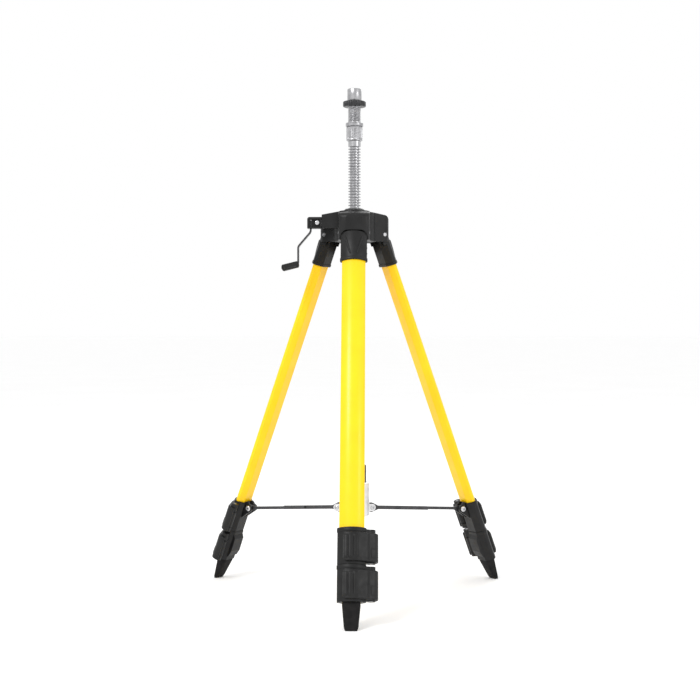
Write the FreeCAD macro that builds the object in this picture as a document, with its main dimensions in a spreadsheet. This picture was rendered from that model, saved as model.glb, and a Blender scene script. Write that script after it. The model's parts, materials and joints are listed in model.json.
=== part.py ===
"""Elevator tripod for a rotating or line laser level, as a parametric FreeCAD assembly.

Frame: millimetres, +Z up, origin on the floor below the centre column. One leg points to -Y,
the others stand 120 degrees round from it, the height crank points to -X and the column lock to +Y.
The tripod stands open, its legs and its column not pulled out.
"""
import FreeCAD, Part
import math
import os
import Sketcher

from FreeCAD import Placement, Rotation, Vector

SIZES = {
    # Tripod layout
    "spread_angle": (21.5, "tilt of an open leg from vertical, degrees"),
    "hinge_radius": (29.5, "leg hinge pin from the column's axis"),
    "hinge_height": (402.5, "leg hinge pin above the floor"),
    "axis_offset": (2.4, "leg tube's axis outward of the hinge pin"),
    # Head casting
    "lobe_half": (17.5, "half the width of a leg's lobe"),
    "lobe_reach": (37.5, "front face of a lobe from the axis"),
    "lobe_corner": (8.0, "rounding of a lobe's upright corners"),
    "lobe_bottom": (394.5, "underside of the lobes"),
    "lobe_wall": (2.8, "thickness of a lobe's front wall"),
    "slot_half": (14.9, "half the width of the slot that takes a leg"),
    "slot_inner": (22.2, "inner end of that slot from the axis"),
    "slot_top": (409.5, "top of that slot"),
    "arch_top": (405.3, "top of the arched mouth in a lobe's front wall"),
    "core_radius": (24.0, "round middle of the head"),
    "roof_top": (429.4, "flat top of the head round the column"),
    "roof_rim": (420.3, "height of the roof line at its outer end"),
    "hollow_radius": (19.5, "ring-shaped hollow under the head"),
    "hollow_top": (403.0, "top of that hollow"),
    "cover_thick": (2.0, "plate that closes the hollow"),
    "neck_radius": (12.5, "sleeve round the centre tube"),
    "neck_bottom": (372.0, "lower end of that sleeve"),
    "boss_half": (8.5, "half the width of the rear boss"),
    "boss_reach": (35.0, "rear face of that boss"),
    "boss_top": (426.0, "top of the rear boss"),
    "boss_bottom": (376.5, "underside of the rear boss"),
    "vial_radius": (5.7, "bubble vial"),
    "vial_place": (26.5, "bubble vial from the axis"),
    "vial_depth": (6.4, "height of the bubble vial"),
    "pin_radius": (2.0, "leg hinge pins"),
    # Centre tube and column
    "tube_radius": (9.0, "centre tube, outside"),
    "tube_bore": (7.6, "centre tube, inside"),
    "tube_bottom": (80.0, "lower end of the centre tube"),
    "tube_top": (378.0, "upper end of the centre tube"),
    "bush_bottom": (393.0, "lower end of the column's bush"),
    "bush_top": (431.0, "top of the bush's flange"),
    "bush_flange": (11.2, "radius of the bush's flange"),
    "rod_radius": (7.0, "column rod over its rings"),
    "rod_root": (5.0, "column rod in the grooves"),
    "rod_bottom": (176.0, "lower end of the column rod"),
    "rod_top": (506.8, "top of the ringed rod"),
    "spigot_radius": (4.0, "spigot under the mounting stud"),
    "spigot_long": (11.0, "length of that spigot"),
    "knurl_top": (523.0, "top of the knurled sleeve"),
    "knurl_radius": (9.0, "knurled sleeve"),
    "collar_top": (527.0, "top of the plain collar"),
    "collar_radius": (9.8, "plain collar under the stem"),
    "stem_radius": (7.3, "threaded stem of the stud over its crests"),
    "stud_radius": (7.9375, "smooth five-eighths inch tip of the stud"),
    "tip_bottom": (551.8, "where the smooth tip begins, above the lock ring"),
    "stud_top": (565.0, "top of the stud"),
    "stud_bore": (3.175, "quarter inch hole in the stud"),
    "stud_bore_deep": (12.0, "depth of that hole"),
    "sink_radius": (5.3, "countersink of that hole at the tip"),
    "sink_deep": (2.2, "depth of the countersink"),
    "ring_bottom": (545.0, "underside of the lock ring"),
    "ring_thick": (6.0, "lock ring's thickness"),
    "ring_radius": (12.8, "lock ring"),
    # Rack and pinion
    "gear_module": (1.0, "module of rack and pinion"),
    "gear_teeth": (12.0, "teeth on the pinion"),
    "tooth_thick": (1.2, "tooth thickness on the pitch line, thinned for backlash"),
    "tooth_tip": (0.5, "tooth thickness at the tip"),
    "tooth_foot": (1.75, "tooth thickness at the root"),
    "pinion_tip": (6.8, "pinion over its teeth"),
    "pinion_root": (4.6, "pinion between its teeth"),
    "pinion_half": (3.0, "half the pinion's width"),
    "crank_height": (414.5, "crank shaft above the floor"),
    "shaft_radius": (3.0, "crank shaft"),
    "shaft_end": (10.5, "inner end of the crank shaft"),
    "gear_room": (7.6, "radius of the hollow round the pinion"),
    "wing_end": (36.0, "outer face of the fixed wing"),
    # Crank
    "hub_gap": (0.4, "gap between wing and crank hub"),
    "hub_end": (52.0, "outer face of the crank hub"),
    "hub_half_wide": (7.0, "half the crank hub's width"),
    "hub_half_tall": (6.2, "half the crank hub's height"),
    "strap_thick": (1.8, "crank strap"),
    "strap_half": (4.8, "half the strap's width"),
    "strap_in": (48.35, "upright top of the strap from the axis"),
    "strap_out": (62.3, "upright lower run of the strap from the axis"),
    "grip_end": (81.0, "outer end of the grip from the axis"),
    "grip_low": (360.5, "underside of the grip at its outer end"),
    "grip_tall": (7.6, "height of the grip"),
    "grip_fall": (4.6, "how far the grip slopes down to its outer end"),
    # Column lock
    "lock_height": (387.0, "lock screw above the floor"),
    "screw_radius": (4.0, "lock screw"),
    "knob_start": (38.5, "inner face of the lock knob"),
    "knob_end": (51.5, "outer face of the lock knob"),
    "knob_radius": (14.5, "lock knob"),
    "pad_end": (10.0, "outer face of the lock pad"),
    # Spreader hub and collar
    "hub_radius": (16.8, "spreader hub"),
    "hub_bore": (9.08, "hub's running fit on the centre tube"),
    "hub_bottom": (87.5, "underside of the spreader hub"),
    "hub_top": (125.0, "top of the spreader hub"),
    "pivot_radius": (20.5, "inner brace pivots from the axis"),
    "pivot_height": (95.4, "inner brace pivots above the floor"),
    "collar_out": (13.2, "clamp collar"),
    "collar_rise": (19.5, "height of the clamp collar"),
    "thumb_height": (135.0, "thumb screw above the floor"),
    # Braces
    "brace_inward": (11.3, "outer brace pivot inward of the leg's hinge line"),
    "brace_down": (335.5, "outer brace pivot below the hinge pin, along the leg"),
    "brace_reach": (75.0, "each brace half past its pivot"),
    "brace_gap": (0.2, "each brace half from the mid plane"),
    "brace_thick": (2.2, "thickness of a brace half"),
    "rivet_radius": (1.5, "brace pivot pins"),
    "rivet_head": (3.0, "heads of those pins"),
    "ear_gap": (2.8, "half the gap that a brace eye turns in"),
    # Legs
    "leg_half": (12.8, "half the width of the upper leg tube"),
    "leg_front": (6.5, "crown of that tube in front of its axis"),
    "leg_back": (6.5, "flat back of that tube behind its axis"),
    "back_half": (7.0, "half the width of that back"),
    "side_front": (1.0, "front corner of the tube's side"),
    "side_back": (1.6, "rear corner of the tube's side"),
    "leg_wall": (1.2, "wall of the upper leg tube"),
    "middle_inset": (2.0, "middle tube's surface inside the upper tube's"),
    "middle_wall": (1.0, "wall of the middle tube"),
    "lower_inset": (3.6, "lower tube's surface inside the upper tube's"),
    "lower_wall": (1.0, "wall of the lower tube"),
    "clamp_grow": (1.7, "clamps and sockets over the upper tube's surface"),
    "socket_long": (36.0, "leg socket below the hinge pin"),
    "socket_top": (2.2, "top of the socket's sleeve below the hinge pin"),
    "knuckle": (4.8, "radius of the socket's hinge knuckle"),
    "upper_clamp_top": (331.1, "upper clamp below the hinge pin"),
    "lower_clamp_top": (368.7, "lower clamp below the hinge pin"),
    "clamp_long": (37.3, "length of a clamp"),
    "seat_long": (14.0, "depth that a tube's end sits in its clamp"),
    "middle_start": (60.0, "top of the middle tube below the hinge pin"),
    "lower_start": (76.0, "top of the lower tube below the hinge pin"),
    "slide_gap": (0.25, "clearance of a sliding tube in its clamp"),
    "foot_top": (406.3, "top of the foot below the hinge pin"),
    "foot_long": (36.0, "foot below the tube, before it is cut level"),
    "foot_back": (-7.2, "foot's back face at its top"),
    "foot_front": (5.4, "foot's front face at its top"),
    "foot_tip_back": (-4.6, "foot's back face at its tip"),
    "foot_tip_front": (0.4, "foot's front face at its tip"),
    "plug_long": (12.0, "foot's plug inside the lower tube"),
    "foot_half": (9.6, "half the foot's width at its top"),
    "foot_tip_half": (6.9, "half the foot's width at its tip"),
    # Clamp levers
    "lever_start": (5.4, "top of a lever below its clamp's top"),
    "lever_long": (29.5, "length of a lever"),
    "lever_pin_side": (19.8, "lever pin to the side of the leg's axis"),
    "lever_pin_back": (1.0, "lever pin inward of the hinge line"),
    "lever_pin_radius": (1.5, "lever pin"),
    "lever_ring": (7.0, "lever's outside round its pin"),
    "lever_inner": (4.7, "lever's inside round its pin"),
    "lug_radius": (4.2, "clamp lugs round the lever pin"),
    "lever_thick": (2.6, "lever's plate"),
    "lever_gap": (0.5, "lever's plate from the clamp"),
    "lever_tip": (9.0, "free edge of the lever past the leg's axis"),
}

doc = FreeCAD.newDocument("ElevatorTripod")
sheet = doc.addObject("Spreadsheet::Sheet", "Sizes")
for row, (alias, (amount, meaning)) in enumerate(SIZES.items(), start=1):
    sheet.set(f"A{row}", meaning)
    sheet.set(f"B{row}", str(amount))
    sheet.setAlias(f"B{row}", alias)
doc.recompute()


class Size:
    """A length that knows its value and the spreadsheet expression that gives it."""

    def __init__(self, value, text):
        self.value = value
        self.text = text

    @staticmethod
    def of(other):
        return other if isinstance(other, Size) else Size(float(other), repr(float(other)))

    def join(self, sign, other, value):
        return Size(value, f"({self.text} {sign} {Size.of(other).text})")

    def __add__(self, other):
        return self.join("+", other, self.value + Size.of(other).value)

    def __sub__(self, other):
        return self.join("-", other, self.value - Size.of(other).value)

    def __mul__(self, other):
        return self.join("*", other, self.value * Size.of(other).value)

    def __truediv__(self, other):
        return self.join("/", other, self.value / Size.of(other).value)

    def __radd__(self, other):
        return Size.of(other) + self

    def __rsub__(self, other):
        return Size.of(other) - self

    def __rmul__(self, other):
        return Size.of(other) * self

    def __neg__(self):
        return Size.of(0) - self

    def root(self):
        return Size(math.sqrt(self.value), f"sqrt({self.text})")


class Sheet:
    """Attribute access to the spreadsheet's sizes."""

    def __getattr__(self, alias):
        return Size(float(sheet.get(alias)), f"Sizes.{alias}")


S = Sheet()
LEGS = {"front": 0, "right": 120, "left": 240}
nodes = []


# ---------------------------------------------------------------- building blocks

def number(size):
    return Size.of(size).value


def bind(item, path, size):
    """Tie one property to the spreadsheet."""
    item.setExpression(path, Size.of(size).text)


def put(item, x=0, y=0, z=0, rotation=None):
    """Place an object; coordinates that are sizes stay tied to the spreadsheet."""
    item.Placement = Placement(Vector(number(x), number(y), number(z)), rotation or Rotation())
    for letter, size in zip("xyz", (x, y, z)):
        if isinstance(size, Size):
            bind(item, f"Placement.Base.{letter}", size)
    return item


def block(x_span, y_span, z_span):
    """Box between pairs of coordinates."""
    item = doc.addObject("Part::Box", "Block")
    for prop, (low, high) in zip(("Length", "Width", "Height"), (x_span, y_span, z_span)):
        bind(item, prop, Size.of(high) - low)
    return put(item, x_span[0], y_span[0], z_span[0])


AXES = {"X": Rotation(Vector(0, 1, 0), 90), "Y": Rotation(Vector(1, 0, 0), -90), "Z": Rotation()}


def bar(radius, low, high, axis="Z", at=(0, 0)):
    """Round bar along an axis from low to high; at gives its other two coordinates in order."""
    item = doc.addObject("Part::Cylinder", "Bar")
    bind(item, "Radius", radius)
    bind(item, "Height", Size.of(high) - low)
    first, second = at
    place = {"X": (low, first, second), "Y": (first, low, second), "Z": (first, second, low)}
    return put(item, *place[axis], rotation=AXES[axis])


def fuse(*items):
    result = doc.addObject("Part::MultiFuse", "Union")
    result.Shapes = list(items)
    result.Refine = True
    return result


def cut(base, *tools):
    result = doc.addObject("Part::Cut", "Difference")
    result.Base = base
    result.Tool = tools[0] if len(tools) == 1 else fuse(*tools)
    result.Refine = True
    return result


def common(first, second):
    result = doc.addObject("Part::Common", "Intersection")
    result.Base = first
    result.Tool = second
    result.Refine = True
    return result


def group(*items):
    """Objects held together with a placement of their own."""
    result = doc.addObject("Part::Compound", "Group")
    result.Links = list(items)
    return result


def turned(item, angle):
    """A placed copy of an object, turned round the column's axis."""
    copy = group(item)
    copy.Placement = Placement(Vector(), Rotation(Vector(0, 0, 1), angle))
    return copy


def around(item):
    """The same object at all three legs."""
    return [turned(item, angle) for angle in LEGS.values()]


def new_sketch(body, plane, offset=0):
    """Sketch on one of the body's own origin planes, moved along the plane's normal."""
    sketch = body.newObject("Sketcher::SketchObject", "Sketch")
    planes = {feature.Role: feature for feature in body.Origin.OriginFeatures}
    sketch.AttachmentSupport = [(planes[plane + "_Plane"], "")]
    sketch.MapMode = "FlatFace"
    sketch.AttachmentOffset = Placement(Vector(0, 0, number(offset)), Rotation())
    if isinstance(offset, Size):
        bind(sketch, "AttachmentOffset.Base.z", offset)
    return sketch


def draw(sketch, corners, arcs=None):
    """Closed outline through corners; arcs maps a side's index to its signed radius.

    A positive radius bulges to the right of the direction of travel.
    """
    arcs = arcs or {}
    count = len(corners)
    points = [Vector(number(x), number(y), 0) for x, y in corners]
    first = sketch.GeometryCount
    for side in range(count):
        start, end = points[side], points[(side + 1) % count]
        if side in arcs:
            sketch.addGeometry(arc_between(start, end, number(arcs[side])), False)
        else:
            sketch.addGeometry(Part.LineSegment(start, end), False)
    for side in range(count):
        tie_corner(sketch, first, side, count, corners, arcs)
    for side, radius in arcs.items():
        size = radius if number(radius) > 0 else -Size.of(radius)
        index = sketch.addConstraint(Sketcher.Constraint("Radius", first + side, number(size)))
        bind(sketch, f"Constraints[{index}]", size)


def arc_between(start, end, radius):
    """Arc through two points, bulging right of the line for a positive radius."""
    chord = end.sub(start)
    half = chord.Length / 2
    side = Vector(chord.y, -chord.x, 0).normalize()
    rise = abs(radius) - math.sqrt(max(radius * radius - half * half, 0))
    middle = (start + end) * 0.5 + side * math.copysign(rise, radius)
    arc = Part.Arc(start, middle, end).toShape().Curve
    circle = Part.Circle(arc.Center, Vector(0, 0, 1), arc.Radius)
    first, last = circle.parameter(start), circle.parameter(end)
    if radius < 0:
        first, last = last, first
    return Part.ArcOfCircle(circle, first, last if last > first else last + 2 * math.pi)


def tie_corner(sketch, first, side, count, corners, arcs):
    """Join a side's start to the side before it and pin the corner to its coordinates."""
    def end_of(index, at_start):
        backwards = index in arcs and number(arcs[index]) < 0
        return 2 if at_start == backwards else 1

    before = (side - 1) % count
    here = (first + side, end_of(side, True))
    sketch.addConstraint(Sketcher.Constraint("Coincident", *here, first + before, end_of(before, False)))
    for kind, size in zip(("DistanceX", "DistanceY"), corners[side]):
        index = sketch.addConstraint(Sketcher.Constraint(kind, -1, 1, *here, number(size)))
        if isinstance(size, Size):
            bind(sketch, f"Constraints[{index}]", size)


def circle(sketch, x, y, radius):
    """Circle pinned to its coordinates."""
    centre = Vector(number(x), number(y), 0)
    index = sketch.addGeometry(Part.Circle(centre, Vector(0, 0, 1), number(radius)), False)
    rules = (("DistanceX", (-1, 1, index, 3), x), ("DistanceY", (-1, 1, index, 3), y))
    for kind, where, size in rules + (("Radius", (index,), radius),):
        rule = sketch.addConstraint(Sketcher.Constraint(kind, *where, number(size)))
        if isinstance(size, Size):
            bind(sketch, f"Constraints[{rule}]", size)


def new_body():
    return doc.addObject("PartDesign::Body", "Body")


def pad(body, sketch, length):
    feature = body.newObject("PartDesign::Pad", "Pad")
    feature.Profile = sketch
    bind(feature, "Length", length)
    sketch.Visibility = False
    return feature


def prism(plane, low, high, corners, arcs=None):
    """Body with one padded outline between two stations along the plane's normal.

    Normals: XY is +Z, YZ is +X, XZ is -Y.
    """
    body = new_body()
    sketch = new_sketch(body, plane, low)
    draw(sketch, corners, arcs)
    pad(body, sketch, Size.of(high) - low)
    return body


def lathe(corners, arcs=None):
    """Body turned round the column's axis from an outline of (radius, height) corners."""
    body = new_body()
    sketch = new_sketch(body, "XZ")
    draw(sketch, corners, arcs)
    feature = body.newObject("PartDesign::Revolution", "Revolution")
    feature.Profile = sketch
    feature.ReferenceAxis = (sketch, ["V_Axis"])
    feature.Angle = 360
    return body


def polar(body, feature, sketch, count):
    """Repeat a feature round its sketch's normal."""
    pattern = body.newObject("PartDesign::PolarPattern", "Pattern")
    pattern.Originals = [feature]
    pattern.Axis = (sketch, ["N_Axis"])
    pattern.Angle = 360
    pattern.Occurrences = count
    body.Tip = pattern
    return pattern


def name_node(item, label):
    """Give a finished piece its own name; it is written under that name."""
    item.Label = label
    nodes.append(item)
    return item


def leg_place(angle):
    """Frame of a leg: origin on its hinge pin, X along the pin, Y inward, Z up along the leg."""
    tilt = Rotation(Vector(1, 0, 0), -number(S.spread_angle))
    pin = Vector(0, -number(S.hinge_radius), number(S.hinge_height))
    return Placement(Vector(), Rotation(Vector(0, 0, 1), angle)) * Placement(pin, tilt)


def name_leg_node(item, leg, label):
    """Finished piece of a leg, modelled in the leg's frame and set down in its place."""
    item.Placement = leg_place(LEGS[leg])
    return name_node(item, f"{leg}_{label}")


# ---------------------------------------------------------------- head

def roof_line():
    """Corners of the head's outline in radius and height, and its rounded eave."""
    eave_radius, eave_round = S.lobe_reach + 1.1, 6.0
    slope = (S.roof_top - 1.7 - S.roof_rim) / 36.0
    eave_top = S.roof_top - 1.7 - slope * 15.6
    corners = [(0, 360), (eave_radius, 360), (eave_radius, eave_top - eave_round + 0.8),
               (eave_radius - eave_round, eave_top), (17, S.roof_top - 1.7),
               (17, S.roof_top - 0.8), (12, S.roof_top), (0, S.roof_top)]
    return corners, {2: Size.of(eave_round)}


def make_lobes():
    """Three rounded lobes that the legs hinge in."""
    body = new_body()
    sketch = new_sketch(body, "XY", S.lobe_bottom)
    side, reach, rounding = S.lobe_half, S.lobe_reach, S.lobe_corner
    draw(sketch, [(side, 0), (-side, 0), (-side, rounding - reach), (rounding - side, -reach),
                  (side - rounding, -reach), (side, rounding - reach)],
         {2: rounding, 4: rounding})
    lobe = pad(body, sketch, S.roof_top - S.lobe_bottom + 1)
    polar(body, lobe, sketch, 3)
    return body


def make_mouth():
    """Arched mouth in the front lobe's wall."""
    side, top, rounding = S.slot_half, S.arch_top, S.lobe_corner
    return prism("XZ", 28, 45,
                 [(-side, 380), (side, 380), (side, top - rounding), (side - rounding, top),
                  (rounding - side, top), (-side, top - rounding)],
                 {2: rounding, 4: rounding})


def make_head():
    """Head casting: lobes, roof, rear boss, neck and the fixed wing of the crank."""
    core = bar(S.core_radius, S.lobe_bottom, S.roof_top + 1)
    crown = common(fuse(make_lobes(), core), lathe(*roof_line()))
    boss = prism("XY", S.boss_bottom, S.boss_top,
                 [(-S.boss_half, 9), (S.boss_half, 9), (S.boss_half, S.boss_reach - 3),
                  (S.boss_half - 3, S.boss_reach), (3 - S.boss_half, S.boss_reach),
                  (-S.boss_half, S.boss_reach - 3)], {2: Size.of(3), 4: Size.of(3)})
    wing_low = S.crank_height - S.hub_half_tall
    roof_at_wing = S.crank_height + S.hub_half_tall
    wing = prism("XZ", 12 - S.hub_half_wide, 12 + S.hub_half_wide,
                 [(-S.wing_end, wing_low), (-8, wing_low), (-8, S.roof_top - 2),
                  (-17, S.roof_top - 2.6), (-S.wing_end, roof_at_wing + 2.6)])
    neck = bar(S.neck_radius, S.neck_bottom, S.lobe_bottom + 6)
    gear_case = block((-12, 13), (-20.5, -3), (S.hollow_top + 1, S.crank_height + 9))
    solid = fuse(crown, boss, wing, neck, gear_case)
    hollow = cut(cut(bar(S.hollow_radius, S.lobe_bottom - 1, S.hollow_top),
                     bar(S.neck_radius, S.lobe_bottom - 2, S.hollow_top + 1)),
                 block((-S.boss_half, S.boss_half), (0, 30), (S.lobe_bottom - 2, S.hollow_top + 1)))
    slot = block((-S.slot_half, S.slot_half), (S.lobe_wall - S.lobe_reach, -S.slot_inner),
                 (380, S.slot_top))
    pin_hole = bar(S.pin_radius + 0.02, -S.lobe_half - 1, S.lobe_half + 1, "X",
                   (-S.hinge_radius, S.hinge_height))
    leg_room = fuse(slot, make_mouth(), pin_hole)
    shell = cut(solid, hollow, *around(leg_room),
                bar(S.tube_radius + 0.05, S.neck_bottom - 1, S.roof_top + 1),
                *gear_room(),
                bar(S.shaft_radius + 0.05, -60, S.shaft_end + 0.5, "X", (-12, S.crank_height)),
                bar(S.screw_radius + 0.06, 5, 40, "Y", (0, S.lock_height)),
                bar(S.vial_radius + 0.1, S.boss_top - S.vial_depth, S.boss_top + 9, "Z",
                    (0, S.vial_place)))
    name_node(shell, "head_shell")


def gear_room():
    """Space round the pinion, open downwards so that the pinion goes in from below."""
    wide = S.pinion_half + 0.8
    return [bar(S.gear_room, -wide, wide, "X", (-12, S.crank_height)),
            block((-wide, wide), (-12 - S.gear_room, S.gear_room - 12),
                  (S.lobe_bottom - 1, S.crank_height))]


def make_base_cover():
    """Plate that closes the hollow under the head."""
    plate = cut(bar(S.hollow_radius - 0.1, S.lobe_bottom, S.lobe_bottom + S.cover_thick),
                bar(S.neck_radius + 0.1, S.lobe_bottom - 1, S.lobe_bottom + 9),
                block((-S.boss_half - 0.1, S.boss_half + 0.1), (0, 30),
                      (S.lobe_bottom - 1, S.lobe_bottom + 9)))
    name_node(plate, "head_base_cover")


def make_bush():
    """Flanged plastic bush that guides the column, cut away for the pinion."""
    outer = S.tube_radius - 0.02
    sleeve = lathe([(S.rod_radius + 0.08, S.bush_bottom), (outer, S.bush_bottom),
                    (outer, S.roof_top + 0.05), (S.bush_flange, S.roof_top + 0.05),
                    (S.bush_flange, S.bush_top - 1), (S.bush_flange - 1, S.bush_top),
                    (S.rod_radius + 0.08, S.bush_top)])
    name_node(cut(sleeve, *gear_room()), "column_bush")


def make_center_tube():
    """Painted tube that the spreader hub slides on."""
    body = new_body()
    sketch = new_sketch(body, "XY", S.tube_bottom)
    circle(sketch, 0, 0, S.tube_radius)
    circle(sketch, 0, 0, S.tube_bore)
    pad(body, sketch, S.tube_top - S.tube_bottom)
    name_node(body, "center_tube")


def make_hinge_pins():
    """Three leg hinge pins."""
    pin = bar(S.pin_radius, -S.lobe_half, S.lobe_half, "X", (-S.hinge_radius, S.hinge_height))
    name_node(fuse(*around(pin)), "leg_hinge_pins")


def make_vial():
    """Round bubble vial with a broken top edge."""
    radius, top = S.vial_radius, S.boss_top - 0.2
    vial = lathe([(0, S.boss_top - S.vial_depth), (radius, S.boss_top - S.vial_depth),
                  (radius, top - 0.4), (radius - 0.4, top), (0, top)])
    name_node(put(vial, 0, S.vial_place, 0), "level_vial")


# ---------------------------------------------------------------- column

def make_rod():
    """Column rod: rings all round it are the teeth of the rack."""
    pitch = math.pi * number(S.gear_module)
    tip, root = number(S.rod_radius), number(S.rod_root)
    mesh_gap = number(S.crank_height)
    below = int((mesh_gap - number(S.rod_bottom) - 12) / pitch)
    above = int((number(S.rod_top) - 5 - mesh_gap) / pitch)
    outline = [(0, number(S.rod_bottom)), (tip - 1, number(S.rod_bottom)),
               (tip, number(S.rod_bottom) + 1)]
    for index in range(-below, above + 1):
        gap = mesh_gap + index * pitch
        floor_half = (pitch - number(S.tooth_foot)) / 2
        mouth_half = (pitch - number(S.tooth_tip) - 0.3) / 2
        outline += [(tip, gap - mouth_half), (root, gap - floor_half),
                    (root, gap + floor_half), (tip, gap + mouth_half)]
    spigot, top = number(S.spigot_radius), number(S.rod_top)
    outline += [(tip, top), (spigot, top), (spigot, top + number(S.spigot_long)),
                (0, top + number(S.spigot_long))]
    wire = Part.makePolygon([Vector(r, 0, z) for r, z in outline + outline[:1]])
    rod = doc.addObject("Part::Feature", "Rod")
    rod.Shape = Part.Face(wire).revolve(Vector(), Vector(0, 0, 1), 360)
    rod.Placement = Placement()
    name_node(rod, "column_rod")


def make_stud():
    """Mounting stud: knurled sleeve, plain collar, threaded stem and smooth drilled tip."""
    spigot_top = S.rod_top + S.spigot_long
    stud = lathe([(S.spigot_radius + 0.02, S.rod_top + 0.02), (S.knurl_radius - 0.8, S.rod_top + 0.02),
                  (S.knurl_radius, S.rod_top + 1), (S.knurl_radius, S.knurl_top - 1),
                  (S.knurl_radius - 0.8, S.knurl_top), (S.collar_radius, S.knurl_top),
                  (S.collar_radius, S.collar_top - 0.6), (S.collar_radius - 0.6, S.collar_top),
                  (S.stem_radius, S.collar_top), (S.stem_radius, S.tip_bottom),
                  (S.stud_radius, S.tip_bottom), (S.stud_radius, S.stud_top - 1),
                  (S.stud_radius - 1, S.stud_top), (S.sink_radius, S.stud_top),
                  (S.stud_bore, S.stud_top - S.sink_deep),
                  (S.stud_bore, S.stud_top - S.stud_bore_deep), (0, S.stud_top - S.stud_bore_deep),
                  (0, spigot_top + 0.1), (S.spigot_radius + 0.02, spigot_top + 0.1)])
    name_node(stud, "mount_stud")


def make_lock_ring():
    """Ring on the stud's stem, under the shoulder of its tip."""
    inner, outer, low = S.stem_radius + 0.06, S.ring_radius, S.ring_bottom
    ring = lathe([(inner, low), (outer - 1, low), (outer, low + 1), (outer, low + S.ring_thick - 1),
                  (outer - 1, low + S.ring_thick), (inner, low + S.ring_thick)])
    name_node(ring, "lock_ring")


# ---------------------------------------------------------------- crank

def make_pinion():
    """Pinion: root disc, one tooth, and the tooth repeated round the disc."""
    body = new_body()
    disc_sketch = new_sketch(body, "YZ", -S.pinion_half)
    circle(disc_sketch, 0, 0, S.pinion_root)
    pad(body, disc_sketch, S.pinion_half * 2)
    tooth_sketch = new_sketch(body, "YZ", -S.pinion_half)
    foot, pitch_line, tip = S.tooth_foot / 2, S.gear_module * S.gear_teeth / 2, S.pinion_tip
    draw(tooth_sketch, [(S.pinion_root - 1, -foot), (S.pinion_root, -foot),
                        (pitch_line, -S.tooth_thick / 2), (tip, -S.tooth_tip / 2),
                        (tip, S.tooth_tip / 2), (pitch_line, S.tooth_thick / 2),
                        (S.pinion_root, foot), (S.pinion_root - 1, foot)])
    tooth = pad(body, tooth_sketch, S.pinion_half * 2)
    polar(body, tooth, tooth_sketch, int(number(S.gear_teeth)))
    put(body, 0, -12, S.crank_height)
    bore = bar(S.shaft_radius, -9, 9, "X", (-12, S.crank_height))
    name_node(cut(body, bore), "crank_pinion")


def make_shaft():
    """Crank shaft, from its inner bearing to the crank hub."""
    name_node(bar(S.shaft_radius, 0.6 - S.strap_in + S.strap_thick, S.shaft_end, "X",
                  (-12, S.crank_height)), "crank_shaft")


def make_crank_hub():
    """Hub on the outer end of the shaft, recessed at both sides, slotted for the strap."""
    low, high = S.crank_height - S.hub_half_tall, S.crank_height + S.hub_half_tall
    near, far = S.wing_end + S.hub_gap, S.hub_end
    front, back = -12 - S.hub_half_wide, S.hub_half_wide - 12
    hub = prism("XZ", -back, -front,
                [(-far, low), (-near, low), (-near, high), (2.5 - far, high), (-far, high - 2.5)],
                {3: Size.of(2.5)})
    slot_low, slot_high = -S.strap_in - S.strap_thick / 2, S.strap_thick / 2 - S.strap_in
    recess = [block((slot_low, -near - 1.7), span, (low + 1.6, high - 2.6))
              for span in ((front - 1, front + 3.6), (back - 3.6, back + 1))]
    strap_room = block((slot_low - 0.02, slot_high + 0.02),
                       (-12 - S.strap_half - 0.05, S.strap_half - 11.95), (low - 1, high - 2.5))
    screw = bar(1.25, front, back, "Y", (-41, S.crank_height))
    name_node(cut(hub, *recess, strap_room, screw,
                  bar(S.shaft_radius, -S.strap_in, 0, "X", (-12, S.crank_height))), "crank_hub")


def make_crank_screw():
    """Cross screw that holds shaft and hub together; the shaft is drilled for it."""
    at = (-41, S.crank_height)
    front = -12 - S.hub_half_wide
    head = cut(bar(2.7, front + 1.0, front + 3.6, "Y", at), bar(1.1, front, front + 2.2, "Y", at))
    name_node(fuse(head, bar(1.2, front + 3.6, -9.2, "Y", at)), "crank_screw")


def make_crank_arm():
    """Bent strap with a sloping flat grip on its end."""
    half, inner, outer = S.strap_thick / 2, S.strap_in, S.strap_out
    top = S.crank_height + S.hub_half_tall - 3
    low, tall, end = S.grip_low, S.grip_tall, S.grip_end
    root = low + S.grip_fall
    corners = [(half - inner, top), (-half - inner, top), (-half - inner, 405.2),
               (-half - outer, 388.6), (-half - outer, root + tall), (2 - end, low + tall + 0.4),
               (-end, low + tall - 1.4), (-end, low + 2), (2 - end, low),
               (half - outer - 3, root - 0.6), (half - outer, root + 2.6),
               (half - outer, 387.9), (half - inner, 404.5)]
    arcs = {5: Size.of(2), 7: Size.of(2), 9: Size.of(3.2)}
    arm = prism("XZ", 12 - S.strap_half, 12 + S.strap_half, corners, arcs)
    name_node(arm, "crank_arm")


# ---------------------------------------------------------------- column lock

def make_lock():
    """Lock pad, screw and fluted knob at the back of the head."""
    at = (0, S.lock_height)
    name_node(bar(S.screw_radius - 0.1, S.rod_radius + 0.05, S.pad_end, "Y", at), "lock_pad")
    name_node(bar(S.screw_radius, S.pad_end + 0.02, S.knob_end - 4, "Y", at), "lock_screw")
    body = new_body()
    disc_sketch = new_sketch(body, "XZ", -S.knob_end)
    circle(disc_sketch, 0, 0, S.knob_radius)
    pad(body, disc_sketch, S.knob_end - S.knob_start)
    flute_sketch = new_sketch(body, "XZ", -S.knob_end)
    circle(flute_sketch, S.knob_radius + 2.6, 0, 4.2)
    flute = body.newObject("PartDesign::Pocket", "Flute")
    flute.Profile = flute_sketch
    flute.Reversed = True
    bind(flute, "Length", S.knob_end - S.knob_start)
    polar(body, flute, flute_sketch, 8)
    put(body, 0, 0, S.lock_height)
    bore = bar(S.screw_radius, S.knob_start - 1, S.knob_end - 4, "Y", at)
    name_node(cut(body, bore), "lock_knob")


# ---------------------------------------------------------------- spreader hub

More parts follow.
